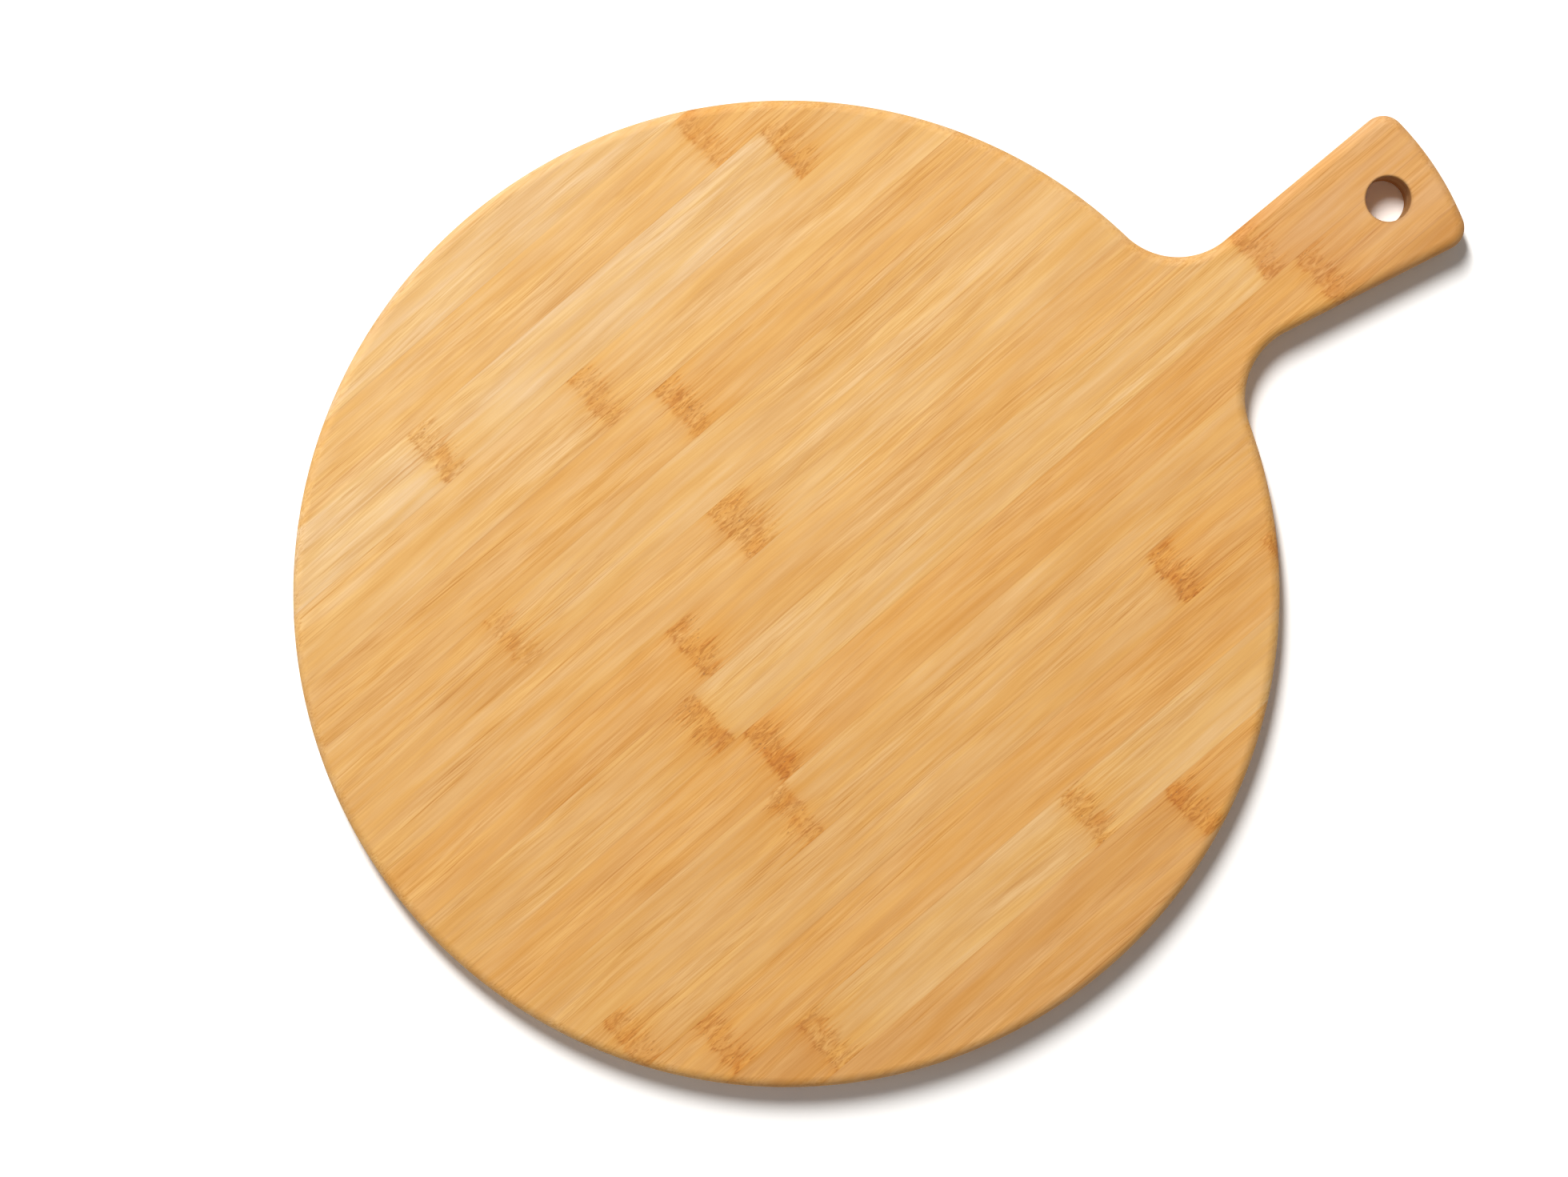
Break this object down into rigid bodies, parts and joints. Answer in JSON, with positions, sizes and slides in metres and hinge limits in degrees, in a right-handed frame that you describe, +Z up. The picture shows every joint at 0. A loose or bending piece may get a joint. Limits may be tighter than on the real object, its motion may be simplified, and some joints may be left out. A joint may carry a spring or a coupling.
{
  "type": "round pizza serving board with handle",
  "caption": "Round bamboo serving board with a short flared handle, a hanging hole and softly rounded edges, laminated from edge-glued strips in crossed plies",
  "frame": {"origin": "centre of the round part, on the board's underside", "axes": "+X runs from the round part's centre along the handle to its tip, +Y across the board, +Z up through the thickness"},
  "size_m": [0.3925, 0.305, 0.015],
  "materials": {
    "top_bamboo": "satin, oiled",
    "core_bamboo": "satin, sanded edge",
    "bottom_bamboo": "satin, oiled"
  },
  "bodies": {
    "root": {"top_strip_01": "top_bamboo", "top_strip_02": "top_bamboo", "top_strip_03": "top_bamboo", "top_strip_04": "top_bamboo", "top_strip_05": "top_bamboo", "top_strip_06": "top_bamboo", "top_strip_07": "top_bamboo", "top_strip_08": "top_bamboo", "top_strip_09": "top_bamboo", "top_strip_10": "top_bamboo", "top_strip_11": "top_bamboo", "top_strip_12": "top_bamboo", "top_strip_13": "top_bamboo", "top_strip_14": "top_bamboo", "top_strip_15": "top_bamboo", "top_strip_16": "top_bamboo", "top_handle_edge": "top_bamboo", "core_strip_01": "core_bamboo", "core_strip_02": "core_bamboo", "core_strip_03": "core_bamboo", "core_strip_04": "core_bamboo", "core_strip_05": "core_bamboo", "core_strip_06": "core_bamboo", "core_strip_07": "core_bamboo", "core_strip_08": "core_bamboo", "core_strip_09": "core_bamboo", "core_strip_10": "core_bamboo", "core_strip_11": "core_bamboo", "core_strip_12": "core_bamboo", "core_strip_13": "core_bamboo", "core_strip_14": "core_bamboo", "core_strip_15": "core_bamboo", "core_strip_16": "core_bamboo", "core_strip_17": "core_bamboo", "core_strip_18": "core_bamboo", "core_strip_19": "core_bamboo", "core_strip_20": "core_bamboo", "bottom_strip_01": "bottom_bamboo", "bottom_strip_02": "bottom_bamboo", "bottom_strip_03": "bottom_bamboo", "bottom_strip_04": "bottom_bamboo", "bottom_strip_05": "bottom_bamboo", "bottom_strip_06": "bottom_bamboo", "bottom_strip_07": "bottom_bamboo", "bottom_strip_08": "bottom_bamboo", "bottom_strip_09": "bottom_bamboo", "bottom_strip_10": "bottom_bamboo", "bottom_strip_11": "bottom_bamboo", "bottom_strip_12": "bottom_bamboo", "bottom_strip_13": "bottom_bamboo", "bottom_strip_14": "bottom_bamboo", "bottom_strip_15": "bottom_bamboo", "bottom_strip_16": "bottom_bamboo"}
  },
  "joints": []
}
